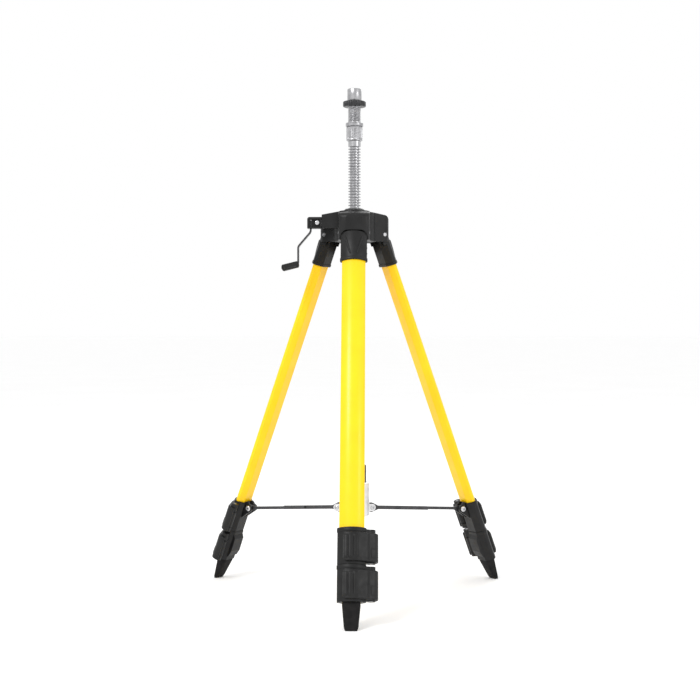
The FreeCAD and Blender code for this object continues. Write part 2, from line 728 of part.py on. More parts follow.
def make_brace_hub():
    """Hub that slides on the centre tube, with forked ears for the three inner braces."""
    sleeve = lathe([(S.hub_bore, S.hub_bottom), (S.hub_radius - 0.8, S.hub_bottom),
                    (S.hub_radius, S.hub_bottom + 0.8), (S.hub_radius, S.hub_top - 3),
                    (S.hub_radius - 3, S.hub_top), (S.hub_bore, S.hub_top)], {3: Size.of(3)})
    pivot = (-S.pivot_radius, S.pivot_height)
    ear = fuse(bar(4, -S.ear_gap - 2.6, S.ear_gap + 2.6, "X", pivot),
               block((-S.ear_gap - 2.6, S.ear_gap + 2.6), (-S.pivot_radius, -S.hub_radius + 2),
                     (S.pivot_height - 4, S.pivot_height + 4)))
    room = block((-S.ear_gap + 0.1, S.ear_gap - 0.1), (-S.pivot_radius - 6, -14.6),
                 (S.hub_bottom - 1, S.pivot_height + 6.4))
    hole = bar(S.rivet_radius, -9, 9, "X", pivot)
    hub = cut(fuse(sleeve, *around(ear)), *around(fuse(room, hole)),
              bar(S.hub_bore, S.hub_bottom - 1, S.hub_top + 1))
    name_node(hub, "brace_hub")
    shank = S.ear_gap + 2.6
    rivet = fuse(bar(S.rivet_radius, -shank, shank, "X", pivot),
                 bar(S.rivet_head - 0.4, -shank - 1, -shank, "X", pivot),
                 bar(S.rivet_head - 0.4, shank, shank + 1, "X", pivot))
    name_node(fuse(*around(rivet)), "hub_brace_pins")


def make_collar():
    """Clamp collar on top of the hub and its winged thumb screw."""
    low, high = S.hub_top + 0.05, S.hub_top + S.collar_rise
    ring = lathe([(S.hub_bore, low), (S.collar_out, low), (S.collar_out, high - 1.5),
                  (S.collar_out - 1.5, high), (S.hub_bore, high)], {2: Size.of(1.5)})
    boss = bar(5.2, 9.5, S.collar_out + 3.5, "Y", (0, S.thumb_height))
    hole = bar(2.06, 5, 20, "Y", (0, S.thumb_height))
    name_node(cut(fuse(ring, boss), hole, bar(S.hub_bore, low - 1, high + 1)), "lock_collar")
    stem_end = S.collar_out + 3.8
    stem = bar(2, S.hub_bore + 0.1, stem_end, "Y", (0, S.thumb_height))
    neck = bar(3.2, stem_end, stem_end + 4, "Y", (0, S.thumb_height))
    wing = prism("XY", S.thumb_height - 2.2, S.thumb_height + 2.2,
                 [(3, stem_end + 2), (7.2, stem_end + 6.5), (7.2, stem_end + 10.5),
                  (3.6, stem_end + 14), (-3.6, stem_end + 14), (-7.2, stem_end + 10.5),
                  (-7.2, stem_end + 6.5), (-3, stem_end + 2)],
                 {2: Size.of(3.8), 4: Size.of(3.8)})
    name_node(fuse(stem, neck, wing), "collar_thumb_screw")


def make_braces(leg):
    """The two halves of one spreader brace, side by side; each turns on its own pivot."""
    tilt = math.radians(number(S.spread_angle))
    inward, down = number(S.brace_inward), number(S.brace_down)
    outer_radius = number(S.hinge_radius) - inward * math.cos(tilt) + down * math.sin(tilt)
    outer_height = number(S.hinge_height) - inward * math.sin(tilt) - down * math.cos(tilt)
    run = outer_radius - number(S.pivot_radius)
    rise = outer_height - number(S.pivot_height)
    slope = math.degrees(math.atan2(rise, run))
    for side, half_tall, eye in (("inner", 2.0, 5.4), ("outer", 1.6, 3.6)):
        brace = prism("YZ", S.brace_gap, S.brace_gap + S.brace_thick,
                      [(-S.brace_reach, -half_tall), (-9, -half_tall), (-2, -eye + 0.4),
                       (-2, eye - 0.4), (-9, half_tall), (-S.brace_reach, half_tall)],
                      {5: Size.of(half_tall + 0.01)})
        disc = bar(eye, S.brace_gap, S.brace_gap + S.brace_thick, "X")
        hole = bar(S.rivet_radius + 0.05, -1, 4, "X")
        half = cut(fuse(brace, disc), hole)
        turn = Rotation(Vector(0, 0, 1), LEGS[leg])
        if side == "inner":
            mirror = number(S.brace_gap) * 2 + number(S.brace_thick)
            local = Placement(Vector(0, -number(S.pivot_radius), number(S.pivot_height)),
                              Rotation(Vector(1, 0, 0), -slope))
            local = local * Placement(Vector(-mirror, 0, 0), Rotation())
        else:
            local = Placement(Vector(0, -outer_radius, outer_height),
                              Rotation(Vector(1, 0, 0), 180 - slope))
        half.Placement = Placement(Vector(), turn) * local
        name_node(half, f"{leg}_brace_{side}")


# ---------------------------------------------------------------- legs

def tube_outline(inset):
    """Section of a leg tube: crowned front, short sides, slanted rear and flat back.

    inset moves the whole outline inward from the upper tube's surface.
    """
    half = S.leg_half - inset
    front = S.side_front - 0.15 * inset
    rear = S.side_back - 0.3 * inset
    back_half = S.back_half - 0.5 * inset
    crown, back = S.leg_front - inset, S.leg_back - inset
    middle = -S.axis_offset
    rise = crown - front
    radius = (half * half + rise * rise) / (rise * 2)
    corners = [(-half, middle - front), (half, middle - front), (half, middle + rear),
               (back_half, middle + back), (-back_half, middle + back), (-half, middle + rear)]
    return corners, {0: radius}


def tube_bar(inset, low, high):
    """Solid with a leg tube's section between two distances below the hinge pin."""
    return prism("XY", -Size.of(high), -Size.of(low), *tube_outline(Size.of(inset)))


def hollow_tube(inset, wall, low, high):
    """Leg tube between two distances below the hinge pin."""
    body = new_body()
    sketch = new_sketch(body, "XY", -Size.of(high))
    draw(sketch, *tube_outline(Size.of(inset)))
    draw(sketch, *tube_outline(Size.of(inset) + wall))
    pad(body, sketch, Size.of(high) - low)
    return body


def make_socket(leg):
    """Socket that carries the leg tube and turns on the hinge pin."""
    side, rounding = S.leg_half + S.clamp_grow - 0.1, 8.0
    sleeve = tube_bar(-S.clamp_grow + 0.1, S.socket_top, S.socket_long)
    arch = prism("XZ", -20, 20,
                 [(-side, -60), (side, -60), (side, -S.socket_top - rounding),
                  (side - rounding, -S.socket_top), (rounding - side, -S.socket_top),
                  (-side, -S.socket_top - rounding)], {2: Size.of(rounding), 4: Size.of(rounding)})
    knuckle = bar(S.knuckle, -side, side, "X")
    web = block((-side, side), (-4, 4), (-S.socket_top - 9, 0))
    tube_room = tube_bar(-0.05, S.socket_top + 6.8, S.socket_long + 1)
    hole = bar(S.pin_radius + 0.05, -side - 1, side + 1, "X")
    socket = cut(fuse(common(sleeve, arch), knuckle, web), tube_room, hole)
    name_leg_node(socket, leg, "leg_socket")


def clamp_lugs(top):
    """Pair of lugs that hold a lever's pin, and the bore for it."""
    pin = (S.lever_pin_side, S.lever_pin_back)
    lugs = []
    for start, end in ((1.4, 10.2), (30.4, 35.9)):
        low, high = -(top + end), -(top + start)
        lugs.append(bar(S.lug_radius, low, high, "Z", pin))
        lugs.append(prism("XY", low, high,
                          [(11, -5.6), (S.lever_pin_side - 1, S.lever_pin_back - S.lug_radius + 0.1),
                           (S.lever_pin_side - 1, S.lever_pin_back + S.lug_radius - 0.2), (11, 1.5)]))
    return lugs, bar(S.lever_pin_radius, -(top + 40), -top, "Z", pin)


def make_clamp(top, seat_inset, slide_inset):
    """Clamp sleeve: seat for one tube's end, running bore for the next tube, and lever lugs."""
    sleeve = tube_bar(-S.clamp_grow, top, top + S.clamp_long)
    seat = tube_bar(seat_inset - 0.05, top - 1, top + S.seat_long)
    slide = tube_bar(slide_inset - S.slide_gap, top + S.seat_long - 1, top + S.clamp_long + 1)
    lugs, pin_hole = clamp_lugs(top)
    keep_out = tube_bar(seat_inset - 0.05, top - 1, top + S.clamp_long + 1)
    return sleeve, cut(fuse(*lugs), keep_out), [seat, slide, pin_hole]


def make_upper_clamp(leg):
    """Upper clamp, with the forked ear for the outer brace on its inner side."""
    top = S.upper_clamp_top
    sleeve, lugs, holes = make_clamp(top, Size.of(0), S.middle_inset)
    wide = S.ear_gap + 3.2
    back = S.leg_back + S.clamp_grow - S.axis_offset
    ear = fuse(bar(4.6, -wide, wide, "X", (S.brace_inward, -S.brace_down)),
               prism("YZ", -wide, wide,
                     [(back - 2, -top - 22), (S.brace_inward + 3.2, -S.brace_down - 3.3),
                      (S.brace_inward + 4.2, -S.brace_down + 1.6), (back + 1.5, -top + 2.6),
                      (back - 1, -top + 1)]))
    room = block((-S.ear_gap, S.ear_gap), (back + 0.2, 20), (-top - 30, -top + 6))
    rivet_hole = bar(S.rivet_radius, -9, 9, "X", (S.brace_inward, -S.brace_down))
    keep_tube = tube_bar(-0.05, top - 9, top + 3)
    clamp = cut(fuse(sleeve, lugs, cut(ear, room, keep_tube)), *holes, rivet_hole)
    name_leg_node(clamp, leg, "upper_clamp")


def make_lower_clamp(leg):
    """Lower clamp, with a thumb rest on its back."""
    top = S.lower_clamp_top
    sleeve, lugs, holes = make_clamp(top, S.middle_inset, S.lower_inset)
    back = S.leg_back + S.clamp_grow - S.axis_offset
    rest = prism("YZ", -8.5, 8.5,
                 [(back - 1, -top - 33), (back + 1.5, -top - 31), (back + 3.4, -top - 24),
                  (back + 3.0, -top - 8), (back - 1, -top - 2)])
    name_leg_node(cut(fuse(sleeve, lugs, rest), *holes), leg, "lower_clamp")


def make_pins(leg):
    """Lever pins of both clamps and the rivet of the outer brace."""
    at = (S.lever_pin_side, S.lever_pin_back)
    pivot = (S.brace_inward, -S.brace_down)
    shank = S.ear_gap + 3.2
    upper = bar(S.lever_pin_radius, -(S.upper_clamp_top + 35.9), -(S.upper_clamp_top + 1.4), "Z", at)
    rivet = [bar(S.rivet_radius, -shank, shank, "X", pivot),
             bar(S.rivet_head, -shank - 1.2, -shank, "X", pivot),
             bar(S.rivet_head, shank, shank + 1.2, "X", pivot)]
    name_leg_node(fuse(upper, *rivet), leg, "upper_clamp_pins")
    lower = bar(S.lever_pin_radius, -(S.lower_clamp_top + 35.9), -(S.lower_clamp_top + 1.4), "Z", at)
    name_leg_node(group(lower), leg, "lower_clamp_pin")


def make_lever(leg, label, top):
    """Clamp lever: plate over the clamp's front, hooked round the pin, with grip ribs."""
    front = S.side_front + 0.15 * S.clamp_grow
    rise = S.leg_front + S.clamp_grow - front
    half = S.leg_half + S.clamp_grow
    crown = (half * half + rise * rise) / (rise * 2)
    middle = crown - (S.leg_front + S.clamp_grow) - S.axis_offset
    inside = crown + S.lever_gap
    outside = inside + S.lever_thick
    pin_x, pin_y = S.lever_pin_side, S.lever_pin_back

    def on_arc(x, radius):
        return (x, middle - (radius * radius - Size.of(x) * x).root())

    def on_pin(degrees, radius):
        angle = math.radians(degrees)
        return (pin_x + radius * math.cos(angle), pin_y + radius * math.sin(angle))

    tip = -S.lever_tip
    corners = [on_arc(tip, outside), on_arc(Size.of(7), outside), on_pin(-68, S.lever_ring),
               on_pin(40, S.lever_ring), on_pin(40, S.lever_inner), on_pin(-68, S.lever_inner),
               on_arc(Size.of(6.2), inside), on_arc(tip, inside)]
    arcs = {0: outside, 2: S.lever_ring, 4: -S.lever_inner, 6: -inside}
    low, high = -(top + S.lever_start + S.lever_long), -(top + S.lever_start)
    plate = prism("XY", low, high, corners, arcs)
    barrel = bar(S.lever_inner + 0.2, -(top + 30.1), -(top + 10.5), "Z", (pin_x, pin_y))
    ribs = []
    for x in (-6.6, -2.0, 2.6):
        foot = number(middle) - math.sqrt(number(outside) ** 2 - x * x)
        ribs.append(bar(1.5, low + 3.5, high - 3.5, "Z", (x, foot + 0.55)))
    edge = on_arc(tip, inside + S.lever_thick / 2)
    rounding = bar(S.lever_thick / 2, low, high, "Z", edge)
    hole = bar(S.lever_pin_radius + 0.05, low - 9, high + 9, "Z", (pin_x, pin_y))
    name_leg_node(cut(fuse(plate, barrel, rounding, *ribs), hole), leg, label)


def make_foot(leg):
    """Tapered foot with a plug in the lower tube, cut level where it stands."""
    top = S.foot_top
    tilt = math.radians(number(S.spread_angle))
    leg_long = (number(S.hinge_height) + number(S.axis_offset) * math.sin(tilt)) / math.cos(tilt)
    wedge = doc.addObject("Part::Wedge", "Wedge")
    values = {"Xmin": -S.foot_half, "Xmax": S.foot_half, "X2min": -S.foot_tip_half,
              "X2max": S.foot_tip_half, "Ymin": 0, "Ymax": S.foot_long,
              "Zmin": S.foot_back, "Zmax": S.foot_front,
              "Z2min": S.foot_tip_back, "Z2max": S.foot_tip_front}
    for prop, size in values.items():
        bind(wedge, prop, size)
    put(wedge, 0, 0, -top, Rotation(Vector(1, 0, 0), -90))
    plug = tube_bar(S.lower_inset + S.lower_wall + 0.03, top - S.plug_long, top + 1)
    tip_up = Rotation(Vector(1, 0, 0), number(S.spread_angle))
    sole = Vector(0, -number(S.axis_offset), -leg_long)
    corner = tip_up.multVec(Vector(-30, -60, -80))
    ground = block((-30, 30), (-60, 60), (-80, 0))
    ground.Placement = Placement(sole + corner, tip_up)
    name_leg_node(cut(fuse(wedge, plug), ground), leg, "foot")


def make_leg(leg):
    """One telescoping leg."""
    make_socket(leg)
    upper_end = S.upper_clamp_top + S.seat_long
    name_leg_node(hollow_tube(0, S.leg_wall, S.socket_top + 7, upper_end - 0.1), leg, "upper_tube")
    make_upper_clamp(leg)
    make_pins(leg)
    make_lever(leg, "upper_lever", S.upper_clamp_top)
    middle_end = S.lower_clamp_top + S.seat_long
    name_leg_node(hollow_tube(S.middle_inset, S.middle_wall, S.middle_start, middle_end - 0.1),
                  leg, "middle_tube")
    make_lower_clamp(leg)
    make_lever(leg, "lower_lever", S.lower_clamp_top)
    name_leg_node(hollow_tube(S.lower_inset, S.lower_wall, S.lower_start, S.foot_top - 0.05),
                  leg, "lower_tube")
    make_foot(leg)
    make_braces(leg)


# ---------------------------------------------------------------- assembly

make_head()
make_base_cover()
make_bush()
make_center_tube()
make_hinge_pins()
make_vial()
make_rod()
make_stud()
make_lock_ring()
make_pinion()
make_shaft()
make_crank_hub()
make_crank_screw()
make_crank_arm()
make_lock()
make_brace_hub()
make_collar()
for leg_name in LEGS:
    make_leg(leg_name)
doc.recompute()

failed = [item.Label for item in doc.Objects if {"Invalid", "Error"} & set(item.State)]
for item in nodes:
    if item.Shape.isNull() or not item.Shape.isValid() or not item.Shape.Solids:
        failed.append(item.Label)
if failed:
    raise RuntimeError("these objects did not build: " + ", ".join(sorted(set(failed))))

os.makedirs("parts", exist_ok=True)
for item in nodes:
    item.Shape.exportStep(f"parts/{item.Label}.step")
print(len(nodes), "nodes")
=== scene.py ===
import json
import math

import bpy
from mathutils import Matrix, Vector


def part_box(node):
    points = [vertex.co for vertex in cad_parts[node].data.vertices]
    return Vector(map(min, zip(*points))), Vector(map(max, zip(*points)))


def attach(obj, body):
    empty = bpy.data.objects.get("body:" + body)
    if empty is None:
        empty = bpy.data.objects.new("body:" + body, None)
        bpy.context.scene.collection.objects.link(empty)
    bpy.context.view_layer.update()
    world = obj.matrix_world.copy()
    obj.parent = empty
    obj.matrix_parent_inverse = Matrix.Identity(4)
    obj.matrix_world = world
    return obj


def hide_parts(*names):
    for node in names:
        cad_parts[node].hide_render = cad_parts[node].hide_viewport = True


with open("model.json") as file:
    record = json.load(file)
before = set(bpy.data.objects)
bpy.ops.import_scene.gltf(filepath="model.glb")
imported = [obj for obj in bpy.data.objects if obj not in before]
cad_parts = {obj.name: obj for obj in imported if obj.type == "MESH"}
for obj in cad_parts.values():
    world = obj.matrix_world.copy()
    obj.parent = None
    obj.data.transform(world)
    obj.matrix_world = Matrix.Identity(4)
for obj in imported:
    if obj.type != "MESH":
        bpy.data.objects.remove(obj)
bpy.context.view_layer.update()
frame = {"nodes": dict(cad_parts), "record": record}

MM = 0.001
LEGS = ("front", "right", "left")
JOINTS = {joint["name"]: joint for joint in frame["record"]["behaviour"]["joints"]}

# Section of the upper leg tube, in millimetres in the leg's frame.
TUBE_HALF, TUBE_CROWN, TUBE_BACK, BACK_HALF = 12.8, 6.5, 6.5, 7.0
SIDE_FRONT, SIDE_BACK, TUBE_MIDDLE = 1.0, 1.6, -2.4
SOCKET_GROW, CLAMP_GROW, SOCKET_END = 1.6, 1.7, -36.0
CLAMP_TOPS = {"upper": -331.1, "lower": -368.7}
BRACE_PIN = Vector((0, 11.3, -335.5))

# Clamp levers, in the same frame.
LEVER_THICK, LEVER_GAP, LEVER_TIP_X = 2.5, 0.5, -9.0
LEVER_TOP, LEVER_LONG = 5.4, 29.5
LEVER_PIN, LEVER_RING = (19.8, 1.0), 7.0
LEVER_EDGE, LEVER_CORNER, PLATE_END_X = 1.2, 4.5, 7.0
PLATE_STEPS, LINK_STEPS, HOOK_STEPS = 38, 30, 32
HOOK_START, HOOK_SWEEP = -68, 108
BARREL_DROP, BARREL_LONG, BARREL_RADIUS = 30.1, 19.6, 4.6

# Relief on a lever's face: three grip ribs, a step and a small panel.
RIB_PLACES, RIB_HALF, RIB_HEIGHT, RIB_END, RIB_FADE = (-5.9, -1.0, 4.6), 2.1, 1.0, 12.2, 1.8
RIB_REACH, PANEL_REACH = 0.6, 0.75
STEP_X, STEP_HALF, STEP_DEPTH, STEP_END = 17.2, 0.7, 0.5, 13.2
PANEL_X, PANEL_Z, PANEL_WIDE, PANEL_TALL, PANEL_HEIGHT = 22.0, -6.0, 2.6, 5.0, 0.4

# Feet: length from top to tip, and each end's half width, front and back.
FOOT_TOP, FOOT_LONG, FOOT_MIDDLE = -406.3, 35.2, -2.2
FOOT_HEAD, FOOT_TIP, FOOT_SQUARE = (9.6, -7.2, 5.4), (6.2, -3.7, -0.5), 0.4

# Head, column and column lock, in millimetres in the row frame.
STUD_RADIUS, STEM_RADIUS, STUD_PITCH = 7.9375, 7.3, 1.4
STUD_FOOT, STUD_SHOULDER, STUD_TIP = 527.0, 551.8, 565.0
SLEEVE_FOOT, SLEEVE_TOP, SLEEVE_RADIUS, SLEEVE_FLUTES = 506.9, 523.0, 9.0, 36
ROD_TOP, ROD_RADIUS, ROD_ROOT, SPIGOT_RADIUS, SPIGOT_LONG = 506.8, 7.0, 5.0, 4.0, 11
RACK_PITCH = math.pi
KNOB_RADIUS, KNOB_LOBES, KNOB_FOOT = 14.5, 8, 38.5
KNOB_FACE = 10.2
CRANK_SCREW = (-41.0, -17.6, 414.5)
LOCK_HEIGHT = 387.0
VIAL_PLACE = (0.0, 26.5, 426.0)

# The photograph's camera, in metres and degrees.
CAMERA_DISTANCE, CAMERA_HEIGHT, CAMERA_LENS = 1.507, 0.295, 69.1
CAMERA_PITCH, CAMERA_YAW, CAMERA_ROUND = -0.83, 0.19, 1.0
SENSOR_WIDTH = 36

# Stage, in metres and watts: each light has its place, its size and its power.
FLOOR_HALF, FLOOR_DROP, AIM = 60.0, 0.0002, (0, 0, 0.3)
LIGHTS = {"key": ((-1.1, -1.6, 1.7), 0.7, 22),
          "fill": ((1.5, -1.2, 0.9), 0.6, 5),
          "rim": ((0.6, 1.6, 1.4), 1.0, 6)}

# Noise mostly stays between these two values.
NOISE_LOW, NOISE_HIGH = 0.3, 0.7


# ---------------------------------------------------------------- materials

def link(tree, source, target):
    """Join two sockets."""
    tree.links.new(source, target)


def noise(tree, size, detail=3.0, stretch=(1, 1, 1)):
    """Noise with features of that size in metres, in object coordinates."""
    where = tree.nodes.new("ShaderNodeTexCoord")
    mapping = tree.nodes.new("ShaderNodeMapping")
    mapping.inputs["Scale"].default_value = stretch
    texture = tree.nodes.new("ShaderNodeTexNoise")
    texture.inputs["Scale"].default_value = 1.0 / size
    texture.inputs["Detail"].default_value = detail
    link(tree, where.outputs["Object"], mapping.inputs["Vector"])
    link(tree, mapping.outputs["Vector"], texture.inputs["Vector"])
    return texture.outputs["Fac"]


def ramp(tree, source, dark, light):
    """Colour that varies between two over the middle of the noise."""
    node = tree.nodes.new("ShaderNodeValToRGB")
    node.color_ramp.elements[0].position = NOISE_LOW
    node.color_ramp.elements[1].position = NOISE_HIGH
    node.color_ramp.elements[0].color = (*dark, 1)
    node.color_ramp.elements[1].color = (*light, 1)
    link(tree, source, node.inputs["Fac"])
    return node.outputs["Color"]


def spread(tree, source, low, high):
    """Value that varies between two over the middle of the noise."""
    node = tree.nodes.new("ShaderNodeMapRange")
    node.inputs["From Min"].default_value = NOISE_LOW
    node.inputs["From Max"].default_value = NOISE_HIGH
    node.inputs["To Min"].default_value = low
    node.inputs["To Max"].default_value = high
    link(tree, source, node.inputs["Value"])
    return node.outputs["Result"]


def surface(name, colours, patch, roughness, grain, depth, metallic=0.0, coat=0.0,
            coat_roughness=0.1, stretch=(1, 1, 1), specular=0.5, transmission=0.0):
    """Principled material with patchy colour, patchy roughness and a fine grain.

    patch and grain are feature sizes in metres, depth is the grain's height in metres.
    """
    material = bpy.data.materials.new(name)
    material.use_nodes = True
    tree = material.node_tree
    shader = tree.nodes["Principled BSDF"]
    shader.inputs["Metallic"].default_value = metallic
    shader.inputs["Coat Weight"].default_value = coat
    shader.inputs["Coat Roughness"].default_value = coat_roughness
    shader.inputs["Specular IOR Level"].default_value = specular
    shader.inputs["Transmission Weight"].default_value = transmission
    patches = noise(tree, patch, 4.0)
    link(tree, ramp(tree, patches, *colours), shader.inputs["Base Color"])
    fine = noise(tree, grain, 3.0, stretch)
    link(tree, spread(tree, noise(tree, patch * 0.4, 5.0, stretch), *roughness),
         shader.inputs["Roughness"])
    bump = tree.nodes.new("ShaderNodeBump")
    bump.inputs["Strength"].default_value = 1.0
    bump.inputs["Distance"].default_value = depth
    link(tree, fine, bump.inputs["Height"])
    link(tree, bump.outputs["Normal"], shader.inputs["Normal"])
    return material


PAINT = surface("yellow_paint", ((0.93, 0.57, 0.002), (0.97, 0.63, 0.003)), 0.03, (0.3, 0.4),
                0.0016, 0.00001, coat=0.12, coat_roughness=0.15, specular=0.3)
BLACK = surface("black_moulding", ((0.006, 0.006, 0.006), (0.012, 0.012, 0.012)), 0.012,
                (0.36, 0.5), 0.0004, 0.000015, specular=0.26)
HEAD_BLACK = surface("head_moulding", ((0.006, 0.006, 0.006), (0.013, 0.013, 0.013)), 0.02,
                     (0.34, 0.48), 0.0005, 0.00002, specular=0.26)
RUBBER = surface("foot_rubber", ((0.005, 0.005, 0.005), (0.012, 0.011, 0.011)), 0.006,
                 (0.62, 0.78), 0.0005, 0.00003, specular=0.16)
BUSH = surface("bush_plastic", ((0.02, 0.02, 0.021), (0.03, 0.03, 0.031)), 0.006, (0.4, 0.5),
               0.0004, 0.00002)
ROD = surface("plated_rod", ((0.36, 0.36, 0.37), (0.5, 0.5, 0.51)), 0.006, (0.2, 0.34), 0.0004,
              0.00002, metallic=1.0, stretch=(1, 1, 6))
STEEL = surface("turned_steel", ((0.34, 0.34, 0.35), (0.47, 0.47, 0.48)), 0.004, (0.26, 0.38),
                0.0003, 0.00002, metallic=1.0, stretch=(1, 1, 8))
PLATED = surface("plated_screw", ((0.55, 0.55, 0.56), (0.7, 0.7, 0.71)), 0.002, (0.2, 0.34),
                 0.0003, 0.00001, metallic=1.0)
LIGHT_METAL = surface("cast_light_metal", ((0.66, 0.66, 0.67), (0.8, 0.8, 0.81)), 0.006,
                      (0.34, 0.5), 0.0006, 0.00005, metallic=0.85)
STRIP = surface("dark_strip", ((0.03, 0.03, 0.032), (0.06, 0.06, 0.063)), 0.008, (0.34, 0.5),
                0.0005, 0.00002, metallic=0.4, stretch=(1, 1, 5))
BLACK_METAL = surface("black_metal", ((0.02, 0.02, 0.021), (0.045, 0.045, 0.047)), 0.004,
                      (0.25, 0.4), 0.0004, 0.00002, metallic=0.5)
BRASS = surface("brass", ((0.6, 0.42, 0.14), (0.72, 0.53, 0.2)), 0.003, (0.25, 0.4), 0.0003,
                0.00001, metallic=1.0)
LIQUID = surface("vial_liquid", ((0.52, 0.66, 0.1), (0.66, 0.78, 0.18)), 0.004, (0.06, 0.1),
                 0.002, 0.00001, coat=0.6, coat_roughness=0.03, transmission=0.25)
BUBBLE = surface("vial_bubble", ((0.86, 0.92, 0.55), (0.93, 0.97, 0.68)), 0.003, (0.05, 0.09),
                 0.001, 0.000005, coat=0.5, coat_roughness=0.03)
FLOOR = surface("floor", ((0.98, 0.98, 0.98), (0.995, 0.995, 0.995)), 0.4, (0.8, 0.9), 0.01,
                0.00001, specular=0.1)


# ---------------------------------------------------------------- mesh building

def add_piece(name, verts, faces, material, body, place=None, sharp=35):
    """Piece from millimetre coordinates, set down by place, that rides on a CAD body."""
    mesh = bpy.data.meshes.new(name)
    mesh.from_pydata([tuple(Vector(v) * MM) for v in verts], [], faces)
    if place is not None:
        mesh.transform(place)
    mesh.validate()
    mesh.shade_smooth()
    mesh.set_sharp_from_angle(angle=math.radians(sharp))
    mesh.materials.append(material)
    piece = bpy.data.objects.new(name, mesh)
    bpy.context.scene.collection.objects.link(piece)
    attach(piece, body)
    return piece


def grid_faces(rows, columns, start=0, around=True):
    """Quads between rows of points; each row closes on itself when around is set."""
    faces = []
    for row in range(rows - 1):
        for column in range(columns if around else columns - 1):
            after = (column + 1) % columns
            low, high = start + row * columns, start + (row + 1) * columns
            faces.append((low + column, low + after, high + after, high + column))
    return faces


def end_caps(rows, columns):
    """Faces that close a grid's first and last rows."""
    last = (rows - 1) * columns
    return [tuple(range(columns))[::-1], tuple(range(last, last + columns))]


def joined_ends(rows, columns):
    """Quads that join a grid's last row back to its first."""
    last = (rows - 1) * columns
    faces = []
    for column in range(columns):
        after = (column + 1) % columns
        faces.append((column, last + column, last + after, after))
    return faces


def signed_power(value, power):
    """Power of a value's size, with the value's sign: it squares off a circle."""
    return math.copysign(abs(value) ** power, value)


def turned(profile, segments, radius_at=None):
    """Vertices and faces of a body of revolution about Z; both ends of the profile are closed."""
    verts = []
    for radius, height in profile:
        for step in range(segments):
            angle = 2 * math.pi * step / segments
            reach = radius_at(radius, height, angle) if radius_at else radius
            verts.append((reach * math.cos(angle), reach * math.sin(angle), height))
    return verts, grid_faces(len(profile), segments) + end_caps(len(profile), segments)


def turned_ring(profile, segments, radius_at=None):
    """Vertices and faces of a ring about Z, whose profile closes on itself."""
    verts, _ = turned(profile, segments, radius_at)
    return verts, grid_faces(len(profile), segments) + joined_ends(len(profile), segments)


def facing(direction, origin):
    """Matrix that turns +Z to a direction and moves to an origin in millimetres."""
    turn = Vector(direction).to_track_quat("Z", "Y").to_matrix().to_4x4()
    return Matrix.Translation(Vector(origin) * MM) @ turn


def leg_matrix(leg):
    """Frame of a leg from its joints: X along the hinge pin, Z up along the leg."""
    fold, slide = JOINTS[f"leg_fold_{leg}"], JOINTS[f"middle_{leg}_slide"]
    x_axis, z_axis = Vector(fold["axis"]), -Vector(slide["axis"])
    y_axis = z_axis.cross(x_axis)
    turn = Matrix((x_axis, y_axis, z_axis)).transposed().to_4x4()
    return Matrix.Translation(Vector(fold["pos_m"])) @ turn


def crown_arc(grow):
    """Radius and centre height of the crowned front when the section grows by that much."""
    half = TUBE_HALF + grow
    rise = TUBE_CROWN + grow - (SIDE_FRONT + 0.15 * grow)
    radius = (half * half + rise * rise) / (2 * rise)
    return radius, TUBE_MIDDLE - (TUBE_CROWN + grow) + radius


def section(grow):
    """Closed outline of the leg tube's section, grown outward."""
    crown_steps, side_steps = 22, 4
    half, back_half = TUBE_HALF + grow, BACK_HALF + 0.5 * grow
    rear, back = SIDE_BACK + 0.3 * grow, TUBE_BACK + grow
    radius, centre = crown_arc(grow)
    points = []
    for step in range(crown_steps + 1):
        x = -half + 2 * half * step / crown_steps
        points.append((x, centre - math.sqrt(radius * radius - x * x)))
    corners = [points[-1], (half, TUBE_MIDDLE + rear), (back_half, TUBE_MIDDLE + back),
               (-back_half, TUBE_MIDDLE + back), (-half, TUBE_MIDDLE + rear), points[0]]
    for start, end in zip(corners[:-1], corners[1:]):
        for step in range(1, side_steps + 1):
            mix = step / side_steps
            points.append((start[0] + (end[0] - start[0]) * mix,
                           start[1] + (end[1] - start[1]) * mix))
    return points[:-1]


def band(name, low, high, grow, proud, body, place):
    """Raised rim round a leg's section, with rounded edges."""
    edge = min(proud, (high - low) / 3)
    profile = [(grow - 0.3, low), (grow + proud * 0.55, low), (grow + proud, low + edge),
               (grow + proud, high - edge), (grow + proud * 0.55, high), (grow - 0.3, high)]
    verts = []
    for out, height in profile:
        verts += [(x, y, height) for x, y in section(out)]
    columns = len(section(0))
    faces = grid_faces(len(profile), columns) + joined_ends(len(profile), columns)
    return add_piece(name, verts, faces, BLACK, body, place)


def rib(name, start, end, half_wide, height, surface_y, body, place):
    """Half-round rib on a surface that surface_y gives, between two (x, z) points."""
    steps, around = 26, 9
    verts = []
    for step in range(steps + 1):
        mix = step / steps
        swell = math.sqrt(max(0.0, 1 - abs(2 * mix - 1) ** 10))
        x = start[0] + (end[0] - start[0]) * mix
        z = start[1] + (end[1] - start[1]) * mix
        for turn in range(around):
            angle = math.pi * turn / (around - 1)
            across = x + half_wide * math.cos(angle) * (0.3 + 0.7 * swell)
            lift = height * math.sin(angle) * swell - 0.25
            verts.append((across, surface_y(across) - lift, z))
    faces = grid_faces(steps + 1, around, around=False) + end_caps(steps + 1, around)
    for step in range(steps):
        low, high = step * around, (step + 1) * around
        faces.append((low, high, high + around - 1, low + around - 1))
    return add_piece(name, verts, faces, BLACK, body, place, 50)


# ---------------------------------------------------------------- pieces of one leg

